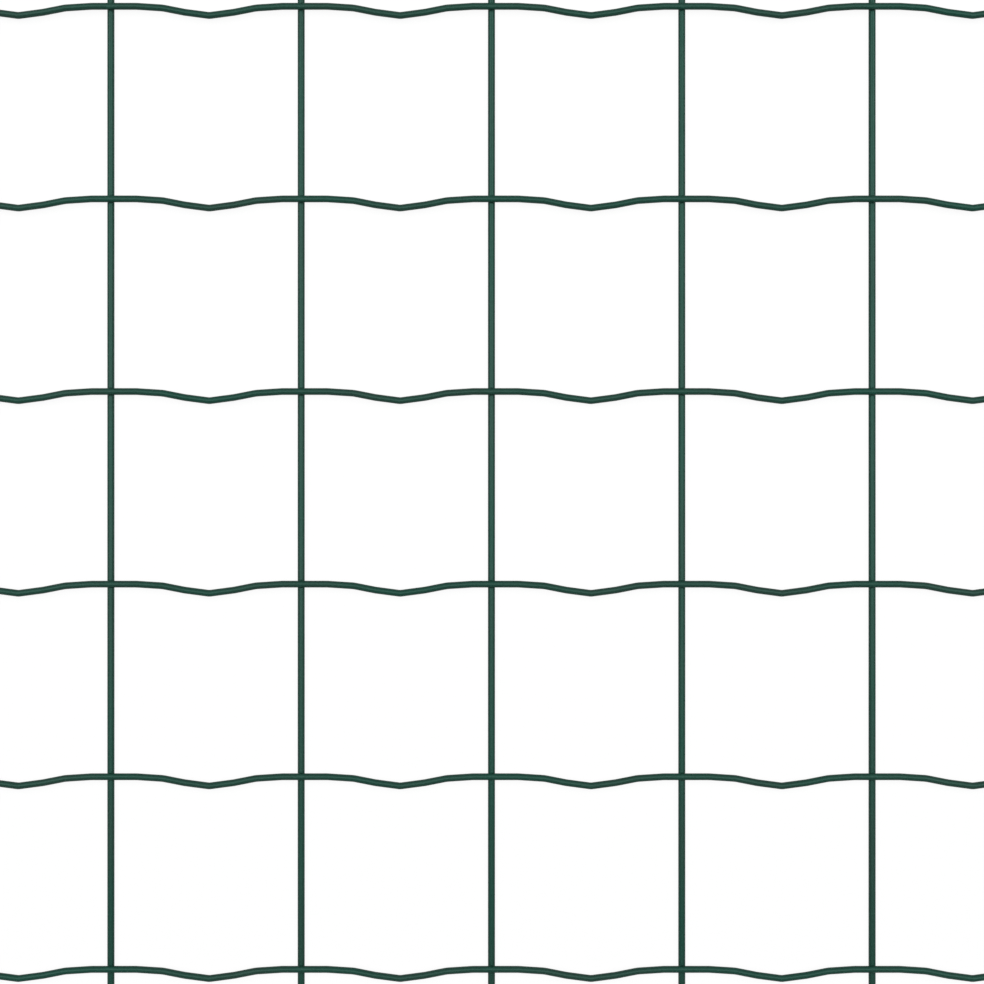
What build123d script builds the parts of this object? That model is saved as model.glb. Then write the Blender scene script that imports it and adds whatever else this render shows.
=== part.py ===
from build123d import *

import math
import os

# Flat sheet of welded wire fencing: straight cross wires with crimped line wires welded over them.
# X runs along the fence, Y up the fence and Z out of its face. All sizes are in millimetres.
# The sheet lies on its cross wires, and the origin is on the ground under its middle.

# Outside size of the sheet
SHEET_LENGTH = 1000.0
SHEET_HEIGHT = 1000.0

# Shortest wire end left past an outer wire where the sheet is cut, more than a crimp reaches down
LEAST_OVERHANG = 5.5

# Spacing of the wires, centre to centre
CROSS_WIRE_PITCH = 75.0
LINE_WIRE_PITCH = 75.7

# Wires over their plastic coating
CROSS_WIRE_DIAMETER = 2.8
LINE_WIRE_DIAMETER = 2.7

# How far a line wire is pressed into a cross wire by the weld
WELD_SET_DOWN = 0.6

# Tension crimp in each line wire between two cross wires: past the straight over a weld,
# a gentle shoulder leads into a steeper leg, and two legs meet in a sharp dip.
WELD_STRAIGHT = 17.9
SHOULDER_RUN = 10.2
SHOULDER_DROP = 0.7
CRIMP_DEPTH = 3.6

# How far the dip is from halfway between the cross wires, towards +X
CRIMP_SHIFT = 1.6


def wire_positions(sheet_size, pitch):
    """Centres of as many wires as fit on the sheet at that pitch, symmetric about 0."""
    gaps = math.floor((sheet_size - 2 * LEAST_OVERHANG) / pitch)
    return [(i - gaps / 2) * pitch for i in range(gaps + 1)]


def wire_section(diameter):
    """Six-sided stand-in for a round wire, as wide and as high as it, with flats at top and bottom."""
    radius = diameter / 2
    corners = [
        (radius, 0),
        (radius / 2, radius),
        (-radius / 2, radius),
        (-radius, 0),
        (-radius / 2, -radius),
        (radius / 2, -radius),
    ]
    return Polygon(*corners, align=None)


def crimp_points(dip_x):
    """Corners of one crimp whose dip is at dip_x, as (x, y) with y 0 at the welds."""
    half_run = (CROSS_WIRE_PITCH - WELD_STRAIGHT) / 2
    knee = half_run - SHOULDER_RUN
    return [
        (dip_x - half_run, 0),
        (dip_x - knee, -SHOULDER_DROP),
        (dip_x, -CRIMP_DEPTH),
        (dip_x + knee, -SHOULDER_DROP),
        (dip_x + half_run, 0),
    ]


def line_wire(cross_wire_xs):
    """One crimped wire along X at z 0, with a crimp in every gap between cross wires."""
    route = [(-SHEET_LENGTH / 2, 0)]
    for left, right in zip(cross_wire_xs, cross_wire_xs[1:]):
        route += crimp_points((left + right) / 2 + CRIMP_SHIFT)
    route.append((SHEET_LENGTH / 2, 0))
    start = Plane(origin=(*route[0], 0), x_dir=(0, 1, 0), z_dir=(1, 0, 0))
    return sweep(
        start * wire_section(LINE_WIRE_DIAMETER),
        path=Polyline(*route),
        transition=Transition.RIGHT,
    )


def cross_wire():
    """One straight wire along Y at z 0, the full height of the fence."""
    start = Plane(origin=(0, -SHEET_HEIGHT / 2, 0), x_dir=(-1, 0, 0), z_dir=(0, 1, 0))
    return extrude(start * wire_section(CROSS_WIRE_DIAMETER), SHEET_HEIGHT)


def welded_mesh():
    """Every wire of the sheet, fused where line and cross wires are welded."""
    cross_wire_xs = wire_positions(SHEET_LENGTH, CROSS_WIRE_PITCH)
    line_wire_ys = wire_positions(SHEET_HEIGHT, LINE_WIRE_PITCH)
    cross_wire_z = CROSS_WIRE_DIAMETER / 2
    line_wire_z = CROSS_WIRE_DIAMETER - WELD_SET_DOWN + LINE_WIRE_DIAMETER / 2
    straight = cross_wire()
    crimped = line_wire(cross_wire_xs)
    wires = [Pos(x, 0, cross_wire_z) * straight for x in cross_wire_xs]
    wires += [Pos(0, y, line_wire_z) * crimped for y in line_wire_ys]
    return wires[0].fuse(*wires[1:])


os.makedirs("parts", exist_ok=True)
export_step(welded_mesh(), "parts/welded_mesh.step", write_pcurves=False)
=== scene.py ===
import math

import bmesh
import bpy
import numpy as np
from mathutils import Matrix, Vector

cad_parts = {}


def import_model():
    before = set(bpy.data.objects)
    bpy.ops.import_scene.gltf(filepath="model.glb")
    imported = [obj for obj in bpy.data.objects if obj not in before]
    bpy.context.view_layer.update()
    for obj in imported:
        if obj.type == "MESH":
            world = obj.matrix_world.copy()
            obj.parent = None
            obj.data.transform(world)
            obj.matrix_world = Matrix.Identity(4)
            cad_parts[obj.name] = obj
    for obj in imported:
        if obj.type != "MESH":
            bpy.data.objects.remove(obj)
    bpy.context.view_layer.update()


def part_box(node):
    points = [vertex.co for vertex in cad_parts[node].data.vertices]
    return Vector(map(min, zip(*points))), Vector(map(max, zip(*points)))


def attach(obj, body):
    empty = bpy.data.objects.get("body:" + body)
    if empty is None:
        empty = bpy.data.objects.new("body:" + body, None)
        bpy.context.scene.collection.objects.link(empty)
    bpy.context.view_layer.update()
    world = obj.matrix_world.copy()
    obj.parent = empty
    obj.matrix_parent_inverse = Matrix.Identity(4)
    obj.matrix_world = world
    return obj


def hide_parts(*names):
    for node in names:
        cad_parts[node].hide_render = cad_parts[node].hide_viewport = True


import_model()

# Flat sheet of coated, welded wire fencing. Everything is in metres, in the frame of the CAD part:
# X along the fence, Y up the fence and Z out of its face, with the floor at Z 0.
MM = 0.001
NODE = "welded_mesh"

# The wires, as in the part's source
CROSS_WIRE_PITCH = 75.0 * MM
LINE_WIRE_PITCH = 75.7 * MM
CROSS_WIRE_RADIUS = 1.4 * MM
LINE_WIRE_RADIUS = 1.35 * MM
WELD_SET_DOWN = 0.6 * MM
LEAST_OVERHANG = 5.5 * MM
CRIMP_SHIFT = 1.6 * MM

# Half of a crimp, from its dip outwards: (distance from the dip, height below the welds)
CRIMP_DIP = (0.0, 3.63 * MM)
CRIMP_LEG = (9.7 * MM, 2.35 * MM)
CRIMP_SHOULDER = (18.3 * MM, 0.66 * MM)
CRIMP_FOOT = (28.6 * MM, 0.0)
DIP_BEND_RADIUS = 5.0 * MM
SHOULDER_BEND_RADIUS = 14.0 * MM

# The most of a straight run that one bend takes up, and the turn below which there is no bend
BEND_SHARE = 0.45
LEAST_TURN = 1e-6

# The plastic coating over the steel core, and the rounding of a cross wire's coated ends
COATING = 0.3 * MM
COATED_END_ROUNDING = 0.75 * MM

# A line wire's ends are cut square: how much the rims of coating and core are rounded, how far the
# core stands out of the coating, and how long the modelled core is
CUT_COATING_ROUNDING = 0.12 * MM
CUT_CORE_ROUNDING = 0.08 * MM
CORE_STANDS_OUT = 0.25 * MM
CORE_LENGTH = 0.9 * MM

# How far the coating runs out into the corners of a weld
WELD_FILLET = 0.5 * MM

# How much fuller than round (power 2) the pressed shoulders of the line wire are at a weld, and how
# far from its middle they fade out
WELD_FULLNESS = 0.55
WELD_PRESSED = 2.4 * MM

# How far the lump of a weld reaches from its middle, and how far it stays under the wires' skins
WELD_REACH = 3.4 * MM
WELD_INSET = 0.03 * MM

# Faces round a wire, steps round the rim of its end, and the turn of each short run of a bend
WIRE_SIDES = 24
RIM_STEPS = 5
BEND_STEP = math.radians(2.5)

# Cuts along each side of the cube that gives a weld its faces, and halvings that find its skin
WELD_CUTS = 11
WELD_HALVINGS = 40

# The camera looks straight down on the middle of the sheet, from about three quarters of a metre
PICTURE_PIXELS = 984
CROSS_WIRE_PITCH_PIXELS = 190.29
FOCAL_PIXELS = 1950.0
SENSOR_MM = 36.0
CAMERA_X = -37.3 * MM
CAMERA_Y = -1.64 * MM


def wire_positions(sheet_size, pitch):
    """Centres of as many wires as fit on the sheet at that pitch, symmetric about 0."""
    gaps = math.floor((sheet_size - 2 * LEAST_OVERHANG) / pitch)
    return [(i - gaps / 2) * pitch for i in range(gaps + 1)]


sheet_low, sheet_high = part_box(NODE)
HALF_LENGTH = (sheet_high.x - sheet_low.x) / 2
HALF_HEIGHT = (sheet_high.y - sheet_low.y) / 2
CROSS_WIRE_XS = wire_positions(2 * HALF_LENGTH, CROSS_WIRE_PITCH)
LINE_WIRE_YS = wire_positions(2 * HALF_HEIGHT, LINE_WIRE_PITCH)
CROSS_WIRE_Z = CROSS_WIRE_RADIUS
LINE_WIRE_Z = 2 * CROSS_WIRE_RADIUS - WELD_SET_DOWN + LINE_WIRE_RADIUS


# Meshes

def new_piece(name, verts, faces, materials, face_materials=None):
    """A piece that rides on the body and stands for the welded mesh, smooth apart from its end caps."""
    mesh = bpy.data.meshes.new(name)
    mesh.from_pydata([tuple(v) for v in verts], [], faces)
    for material in materials:
        mesh.materials.append(material)
    if face_materials:
        mesh.polygons.foreach_set("material_index", face_materials)
    mesh.polygons.foreach_set("use_smooth", [len(face) <= 4 for face in faces])
    mesh.update()
    piece = bpy.data.objects.new(name, mesh)
    bpy.context.scene.collection.objects.link(piece)
    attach(piece, "root")
    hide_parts(NODE)
    return piece


def bend(before, corner, after, radius):
    """Points along the arc that takes the place of a corner, or none where the line is straight."""
    back = before - corner
    ahead = after - corner
    turn = math.pi - back.angle(ahead)
    if turn < LEAST_TURN:
        return []
    cut = min(radius * math.tan(turn / 2), BEND_SHARE * min(back.length, ahead.length))
    radius = cut / math.tan(turn / 2)
    start = corner + back.normalized() * cut
    inward = (back.normalized() + ahead.normalized()).normalized()
    centre = corner + inward * (radius / math.cos(turn / 2))
    steps = max(2, math.ceil(turn / BEND_STEP))
    side = 1.0 if back.cross(ahead) < 0 else -1.0
    arm = start - centre
    return [centre + Matrix.Rotation(side * turn * i / steps, 2) @ arm for i in range(steps + 1)]


def rounded_route(corners, radii):
    """The corners joined by straight runs, with a bend of its radius in place of each inner corner."""
    corners = [Vector(corner) for corner in corners]
    route = [corners[0]]
    for before, corner, after, radius in zip(corners, corners[1:], corners[2:], radii):
        route += bend(before, corner, after, radius)
    route.append(corners[-1])
    return route


def tube_rings(route, z, radius):
    """Rings of points round a flat route, one ring for each point of the route."""
    rings = []
    for i, point in enumerate(route):
        before = route[max(i - 1, 0)]
        after = route[min(i + 1, len(route) - 1)]
        along = (after - before).normalized()
        across = Vector((-along.y, along.x))
        ring = []
        for k in range(WIRE_SIDES):
            angle = 2 * math.pi * k / WIRE_SIDES
            flat = point + across * (radius * math.cos(angle))
            ring.append((flat.x, flat.y, z + radius * math.sin(angle)))
        rings.append(ring)
    return rings


def rounded_rim(ring, outward, radius, rounding):
    """Rings that round the rim of a wire's end, from the ring at its start outwards."""
    centre = sum((Vector(p) for p in ring), Vector((0, 0, 0))) / len(ring)
    rings = []
    for i in range(1, RIM_STEPS + 1):
        angle = math.pi / 2 * i / RIM_STEPS
        shrink = (radius - rounding + rounding * math.cos(angle)) / radius
        shift = outward * (rounding * math.sin(angle))
        rings.append([tuple(centre + (Vector(p) - centre) * shrink + shift) for p in ring])
    return rings


def skin(rings, first_vertex):
    """Faces over a row of rings, with a flat cap on each end."""
    faces = []
    for i in range(len(rings) - 1):
        here = first_vertex + i * WIRE_SIDES
        there = here + WIRE_SIDES
        for k in range(WIRE_SIDES):
            n = (k + 1) % WIRE_SIDES
            faces.append((here + k, here + n, there + n, there + k))
    last = first_vertex + (len(rings) - 1) * WIRE_SIDES
    faces.append(tuple(first_vertex + k for k in reversed(range(WIRE_SIDES))))
    faces.append(tuple(last + k for k in range(WIRE_SIDES)))
    return faces


def add_wire(verts, faces, route, z, radius, rounding):
    """Adds a closed round wire to the lists of a mesh. Its rounded rims lie past the route's ends."""
    middle = tube_rings(route, z, radius)
    low = rounded_rim(middle[0], (route[0] - route[1]).normalized().to_3d(), radius, rounding)
    high = rounded_rim(middle[-1], (route[-1] - route[-2]).normalized().to_3d(), radius, rounding)
    rings = low[::-1] + middle + high
    faces.extend(skin(rings, len(verts)))
    for ring in rings:
        verts.extend(ring)


def crimp_corners(dip_x, y):
    """Corners of one crimp, from its left foot to its right one."""
    half = [CRIMP_FOOT, CRIMP_SHOULDER, CRIMP_LEG]
    left = [(dip_x - run, y - drop) for run, drop in half]
    right = [(dip_x + run, y - drop) for run, drop in reversed(half)]
    return left + [(dip_x, y - CRIMP_DIP[1])] + right


def line_wire_route(y, half_length):
    """The line along the middle of a crimped line wire."""
    crimp_radii = [SHOULDER_BEND_RADIUS] * 3 + [DIP_BEND_RADIUS] + [SHOULDER_BEND_RADIUS] * 3
    corners = [(-half_length, y)]
    radii = []
    for left, right in zip(CROSS_WIRE_XS, CROSS_WIRE_XS[1:]):
        corners += crimp_corners((left + right) / 2 + CRIMP_SHIFT, y)
        radii += crimp_radii
    corners.append((half_length, y))
    return rounded_route(corners, radii)


def line_wire(index, y, coating, steel):
    """A crimped line wire with its coating cut square, and the steel core standing out of each end."""
    verts, faces = [], []
    route = line_wire_route(y, HALF_LENGTH - CORE_STANDS_OUT - CUT_COATING_ROUNDING)
    add_wire(verts, faces, route, LINE_WIRE_Z, LINE_WIRE_RADIUS, CUT_COATING_ROUNDING)
    coated = len(faces)
    for end in (-1, 1):
        tip = end * (HALF_LENGTH - CUT_CORE_ROUNDING)
        root = end * (HALF_LENGTH - CORE_LENGTH)
        core = [Vector((x, y)) for x in sorted((root, tip))]
        add_wire(verts, faces, core, LINE_WIRE_Z, LINE_WIRE_RADIUS - COATING, CUT_CORE_ROUNDING)
    slots = [0] * coated + [1] * (len(faces) - coated)
    return new_piece(f"line_wire_{index:02d}", verts, faces, [coating, steel], slots)


def cross_wire(index, x, coating):
    """A straight cross wire whose cut ends are coated over, so that they are rounded."""
    verts, faces = [], []
    reach = HALF_HEIGHT - COATED_END_ROUNDING
    route = [Vector((x, -reach)), Vector((x, reach))]
    add_wire(verts, faces, route, CROSS_WIRE_Z, CROSS_WIRE_RADIUS, COATED_END_ROUNDING)
    return new_piece(f"cross_wire_{index:02d}", verts, faces, [coating])


def smooth_min(a, b, width):
    """The lesser of a and b, with the corner between them filled in over a width."""
    h = np.clip(0.5 + 0.5 * (b - a) / width, 0, 1)
    return b * (1 - h) + a * h - width * h * (1 - h)


def weld_distance(points):
    """Distance of points from the skin of a weld at the middle of a crossing, below 0 inside it."""
    x, y, z = np.abs(points - [0, 0, LINE_WIRE_Z]).T
    cross = np.hypot(x, points[:, 2] - CROSS_WIRE_Z) - CROSS_WIRE_RADIUS
    power = 2 + WELD_FULLNESS * np.clip(1 - (x / WELD_PRESSED) ** 2, 0, 1)
    line = (y ** power + z ** power) ** (1 / power) - LINE_WIRE_RADIUS
    wires = smooth_min(cross, line, WELD_FILLET) + WELD_INSET
    ends = np.maximum(x, y) - WELD_REACH
    return np.maximum(wires, ends)


def weld_lump():
    """The coated lump of one weld, as (points, faces), found along rays from inside it.

    The rays go through the points of a finely cut cube, which also gives the faces. Each is halved again
    and again between a point inside the lump and one well outside it.
    """
    cube = bmesh.new()
    bmesh.ops.create_cube(cube, size=2.0)
    bmesh.ops.subdivide_edges(cube, edges=cube.edges[:], cuts=WELD_CUTS, use_grid_fill=True)
    rays = np.array([v.co.normalized() for v in cube.verts])
    faces = [tuple(v.index for v in f.verts) for f in cube.faces]
    cube.free()
    middle = np.array([0, 0, (CROSS_WIRE_Z + LINE_WIRE_Z) / 2])
    near = np.zeros(len(rays))
    far = np.full(len(rays), 3 * WELD_REACH)
    for _ in range(WELD_HALVINGS):
        half = (near + far) / 2
        inside = weld_distance(middle + rays * half[:, None]) < 0
        near = np.where(inside, half, near)
        far = np.where(inside, far, half)
    return middle + rays * near[:, None], faces


def welds(index, y, coating, lump):
    """The coated welds along one line wire."""
    points, lump_faces = lump
    verts, faces = [], []
    for x in CROSS_WIRE_XS:
        start = len(verts)
        verts.extend(points + np.array([x, y, 0]))
        faces.extend(tuple(start + v for v in face) for face in lump_faces)
    return new_piece(f"welds_{index:02d}", verts, faces, [coating])


# Materials

# The two greens that the coating wanders between, and its gloss. The welds' greens are painted lighter:
# painted light that lifts the shade in their corners
WIRE_GREEN = (0.0030, 0.0330, 0.0215, 1)
WIRE_GREY = (0.0085, 0.0285, 0.0198, 1)
WIRE_GLOSS = 0.27
# Painted light: the welds' greens are lighter to lift the shade where the wires cross
WELD_PAINTED_LIGHT_GREEN = (0.0038, 0.0380, 0.0248, 1)
WELD_PAINTED_LIGHT_GREY = (0.0085, 0.0340, 0.0232, 1)
WELD_GLOSS = 0.225
GLOSS_TINT = (0.52, 1.0, 0.85, 1)
COATING_ROUGHNESS = (0.28, 0.42)

# The bare core
STEEL_GREY = (0.55, 0.56, 0.57, 1)
STEEL_ROUGHNESS = (0.28, 0.50)

# How fine each noise is, per metre, and the range of the tint's noise that goes from green to grey
TINT_NOISE = 18.0
SHEEN_NOISE = 350.0
SAG_NOISE = 170.0
DIE_LINE_NOISE = 2600.0
PEEL_NOISE = 900.0
STEEL_NOISE = 3000.0
TINT_RANGE = (0.35, 0.65)

# How far the coating's long sags, its die lines and its fine peel rise and fall
SAG_HEIGHT = 0.35 * MM
DIE_LINE_HEIGHT = 0.010 * MM
PEEL_HEIGHT = 0.030 * MM

# How the noise of sags and die lines is scaled, so that they run along the wire, or no way on a weld
ALONG_X = (0.15, 1, 1)
ALONG_Y = (1, 0.15, 1)
UNSTRETCHED = (1, 1, 1)

ZERO_TO_ONE = (0.0, 1.0)


def shader(name):
    """A new material, its node tree and its Principled shader."""
    material = bpy.data.materials.new(name)
    material.use_nodes = True
    tree = material.node_tree
    return material, tree, tree.nodes["Principled BSDF"]


def node(tree, kind, **values):
    """A new node with its properties or input sockets set."""
    made = tree.nodes.new(kind)
    for key, value in values.items():
        if hasattr(made, key):
            setattr(made, key, value)
        else:
            made.inputs[key.replace("_", " ")].default_value = value
    return made


def noise(tree, vector, scale, detail):
    """A noise over a vector, from 0 to 1."""
    made = node(tree, "ShaderNodeTexNoise", Scale=scale, Detail=detail)
    tree.links.new(vector, made.inputs["Vector"])
    return made.outputs["Fac"]


def remap(tree, value, old, new):
    """The value with the range old stretched to the range new, and held inside it."""
    made = node(
        tree, "ShaderNodeMapRange", From_Min=old[0], From_Max=old[1], To_Min=new[0], To_Max=new[1]
    )
    tree.links.new(value, made.inputs["Value"])
    return made.outputs["Result"]


def coating_material(name, green, grey, gloss, along):
    """Dark green plastic drawn over wire: semi-gloss, faintly uneven, with die lines along the wire."""
    material, tree, principled = shader(name)
    principled.inputs["Specular IOR Level"].default_value = gloss
    principled.inputs["Specular Tint"].default_value = GLOSS_TINT
    place = node(tree, "ShaderNodeTexCoord").outputs["Object"]

    tint = remap(tree, noise(tree, place, TINT_NOISE, 2.0), TINT_RANGE, ZERO_TO_ONE)
    colour = node(tree, "ShaderNodeMix", data_type="RGBA")
    colour.inputs["A"].default_value = green
    colour.inputs["B"].default_value = grey
    tree.links.new(tint, colour.inputs["Factor"])
    tree.links.new(colour.outputs["Result"], principled.inputs["Base Color"])

    sheen = remap(tree, noise(tree, place, SHEEN_NOISE, 3.0), ZERO_TO_ONE, COATING_ROUGHNESS)
    tree.links.new(sheen, principled.inputs["Roughness"])

    stretch = node(tree, "ShaderNodeMapping", Scale=along)
    tree.links.new(place, stretch.inputs["Vector"])
    stretched = stretch.outputs["Vector"]
    normal = None
    for vector, scale, height in (
        (stretched, SAG_NOISE, SAG_HEIGHT),
        (stretched, DIE_LINE_NOISE, DIE_LINE_HEIGHT),
        (place, PEEL_NOISE, PEEL_HEIGHT),
    ):
        bump = node(tree, "ShaderNodeBump", Distance=height)
        tree.links.new(noise(tree, vector, scale, 1.0), bump.inputs["Height"])
        if normal:
            tree.links.new(normal, bump.inputs["Normal"])
        normal = bump.outputs["Normal"]
    tree.links.new(normal, principled.inputs["Normal"])
    return material


def steel_material():
    """The bright, freshly cut steel of a core."""
    material, tree, principled = shader("cut_steel")
    principled.inputs["Metallic"].default_value = 1.0
    principled.inputs["Base Color"].default_value = STEEL_GREY
    place = node(tree, "ShaderNodeTexCoord").outputs["Object"]
    grain = remap(tree, noise(tree, place, STEEL_NOISE, 3.0), ZERO_TO_ONE, STEEL_ROUGHNESS)
    tree.links.new(grain, principled.inputs["Roughness"])
    return material


# The object

line_coating = coating_material("line_wire_coating", WIRE_GREEN, WIRE_GREY, WIRE_GLOSS, ALONG_X)
cross_coating = coating_material("cross_wire_coating", WIRE_GREEN, WIRE_GREY, WIRE_GLOSS, ALONG_Y)
# The welds' coating is painted a little lighter, a painted light that lifts the shade in the corners
# where the wires cross
weld_coating_painted_light = coating_material("weld_coating_painted_light", WELD_PAINTED_LIGHT_GREEN, WELD_PAINTED_LIGHT_GREY, WELD_GLOSS, UNSTRETCHED)
steel = steel_material()
lump = weld_lump()
for index, x in enumerate(CROSS_WIRE_XS, start=1):
    cross_wire(index, x, cross_coating)
for index, y in enumerate(LINE_WIRE_YS, start=1):
    line_wire(index, y, line_coating, steel)
    welds(index, y, weld_coating_painted_light, lump)


# Floor, lights and camera

FLOOR_SIZE = 40.0

# What camera, gloss and glass see of the floor: its colour, and the share of it that is plain glow
FLOOR_SEEN = (1.0, 1.0, 1.0, 1)
FLOOR_GLOW = 0.92

# The floor's colour for the light that it throws back up, and the strength of the world's own light
FLOOR_BOUNCE = (0.06, 0.06, 0.06, 1)
WORLD_STRENGTH = 0.02

# Lamps at one height: one overhead, and a row of three further up the fence, brighter at its ends
LAMP_HEIGHT = 2.0
LAMP_DEPTH = 1.0
OVERHEAD_WIDTH = 5.0
OVERHEAD_POWER = 44.3
ROW_Y = 1.0
ROW_MIDDLE_WIDTH = 2.0
ROW_MIDDLE_POWER = 9.0
ROW_END_WIDTH = 1.5
ROW_END_POWER = 23.5


def background_rays(tree):
    """An output that is 1 for the rays that see the background: those of the camera, gloss and glass."""
    path = node(tree, "ShaderNodeLightPath")
    seen = path.outputs["Is Camera Ray"]
    for ray in ("Is Glossy Ray", "Is Transmission Ray"):
        either = node(tree, "ShaderNodeMath", operation="MAXIMUM")
        tree.links.new(seen, either.inputs[0])
        tree.links.new(path.outputs[ray], either.inputs[1])
        seen = either.outputs["Value"]
    return seen


def floor():
    """A plain floor, seen as white apart from a faint share of the object's shadow.

    It throws little light back up, so that the undersides of the wires stay dark.
    """
    bpy.ops.mesh.primitive_plane_add(size=FLOOR_SIZE)
    plane = bpy.context.object
    plane.name = "floor"
    material = bpy.data.materials.new("floor")
    material.use_nodes = True
    tree = material.node_tree
    tree.nodes.clear()
    seen = background_rays(tree)
    colour = node(tree, "ShaderNodeMix", data_type="RGBA")
    colour.inputs["A"].default_value = FLOOR_BOUNCE
    colour.inputs["B"].default_value = FLOOR_SEEN
    diffuse = node(tree, "ShaderNodeBsdfDiffuse")
    glow = node(tree, "ShaderNodeEmission")
    mix = node(tree, "ShaderNodeMixShader")
    output = node(tree, "ShaderNodeOutputMaterial")
    tree.links.new(seen, colour.inputs["Factor"])
    tree.links.new(colour.outputs["Result"], diffuse.inputs["Color"])
    tree.links.new(remap(tree, seen, ZERO_TO_ONE, (0.0, FLOOR_GLOW)), mix.inputs["Fac"])
    tree.links.new(diffuse.outputs["BSDF"], mix.inputs[1])
    tree.links.new(glow.outputs["Emission"], mix.inputs[2])
    tree.links.new(mix.outputs["Shader"], output.inputs["Surface"])
    plane.data.materials.append(material)


def world():
    """Dim, even light from all round, which camera, gloss and glass see as pale as the far floor."""
    made = bpy.data.worlds.new("world")
    bpy.context.scene.world = made
    made.use_nodes = True
    tree = made.node_tree
    background = tree.nodes["Background"]
    background.inputs["Color"].default_value = (1, 1, 1, 1)
    strength = remap(tree, background_rays(tree), ZERO_TO_ONE, (WORLD_STRENGTH, FLOOR_GLOW))
    tree.links.new(strength, background.inputs["Strength"])


def softbox(name, x, y, width, power):
    """A rectangular lamp that faces down and that the camera doesn't see."""
    light = bpy.data.lights.new(name, "AREA")
    light.shape = "RECTANGLE"
    light.size = width
    light.size_y = LAMP_DEPTH
    light.energy = power
    lamp = bpy.data.objects.new(name, light)
    lamp.location = (x, y, LAMP_HEIGHT)
    lamp.visible_camera = False
    bpy.context.scene.collection.objects.link(lamp)


def lamps():
    """The overhead lamp and the row of three."""
    row_end_x = (ROW_MIDDLE_WIDTH + ROW_END_WIDTH) / 2
    softbox("overhead", 0, 0, OVERHEAD_WIDTH, OVERHEAD_POWER)
    softbox("back", 0, ROW_Y, ROW_MIDDLE_WIDTH, ROW_MIDDLE_POWER)
    softbox("back_left", -row_end_x, ROW_Y, ROW_END_WIDTH, ROW_END_POWER)
    softbox("back_right", row_end_x, ROW_Y, ROW_END_WIDTH, ROW_END_POWER)


def camera():
    """A camera straight above the sheet, with the photograph's framing."""
    data = bpy.data.cameras.new("camera")
    data.sensor_width = SENSOR_MM
    data.lens = FOCAL_PIXELS / PICTURE_PIXELS * SENSOR_MM
    metres_per_pixel = CROSS_WIRE_PITCH / CROSS_WIRE_PITCH_PIXELS
    made = bpy.data.objects.new("camera", data)
    made.location = (CAMERA_X, CAMERA_Y, CROSS_WIRE_Z + FOCAL_PIXELS * metres_per_pixel)
    bpy.context.scene.collection.objects.link(made)
    bpy.context.scene.camera = made


floor()
world()
lamps()
camera()
bpy.context.scene.view_settings.view_transform = "Standard"
